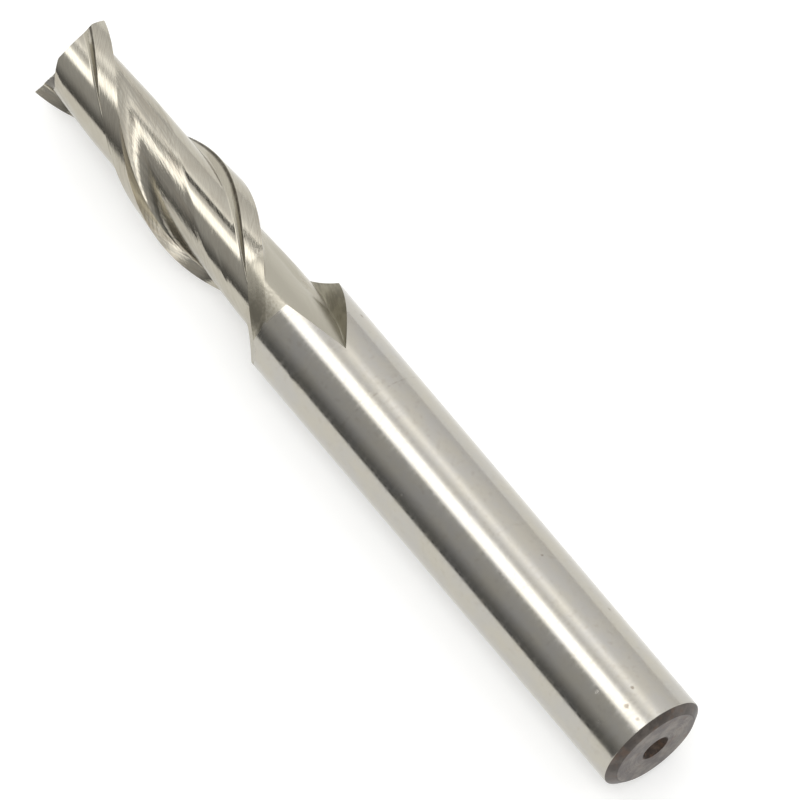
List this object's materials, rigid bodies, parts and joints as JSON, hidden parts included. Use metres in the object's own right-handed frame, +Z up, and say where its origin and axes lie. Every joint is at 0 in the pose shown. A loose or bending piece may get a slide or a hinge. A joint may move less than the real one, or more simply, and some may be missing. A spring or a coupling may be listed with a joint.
{
  "type": "two-flute end mill",
  "caption": "Two-flute right-hand end mill for slots, with helical flutes, centre-cutting end teeth and a plain round shank thicker than its cutting diameter.",
  "frame": {"origin": "middle of the tool's length, on the plane it lies on, straight below its axis", "axes": "+X runs along the tool's axis from the cutting tip to the rear of the shank, +Z is up, away from the plane it lies on"},
  "size_m": [0.0644, 0.008, 0.008],
  "materials": {
    "high_speed_steel": "ground",
    "shank_steel": "ground"
  },
  "bodies": {
    "root": {"cutting_head": "high_speed_steel", "shank": "shank_steel"}
  },
  "joints": []
}
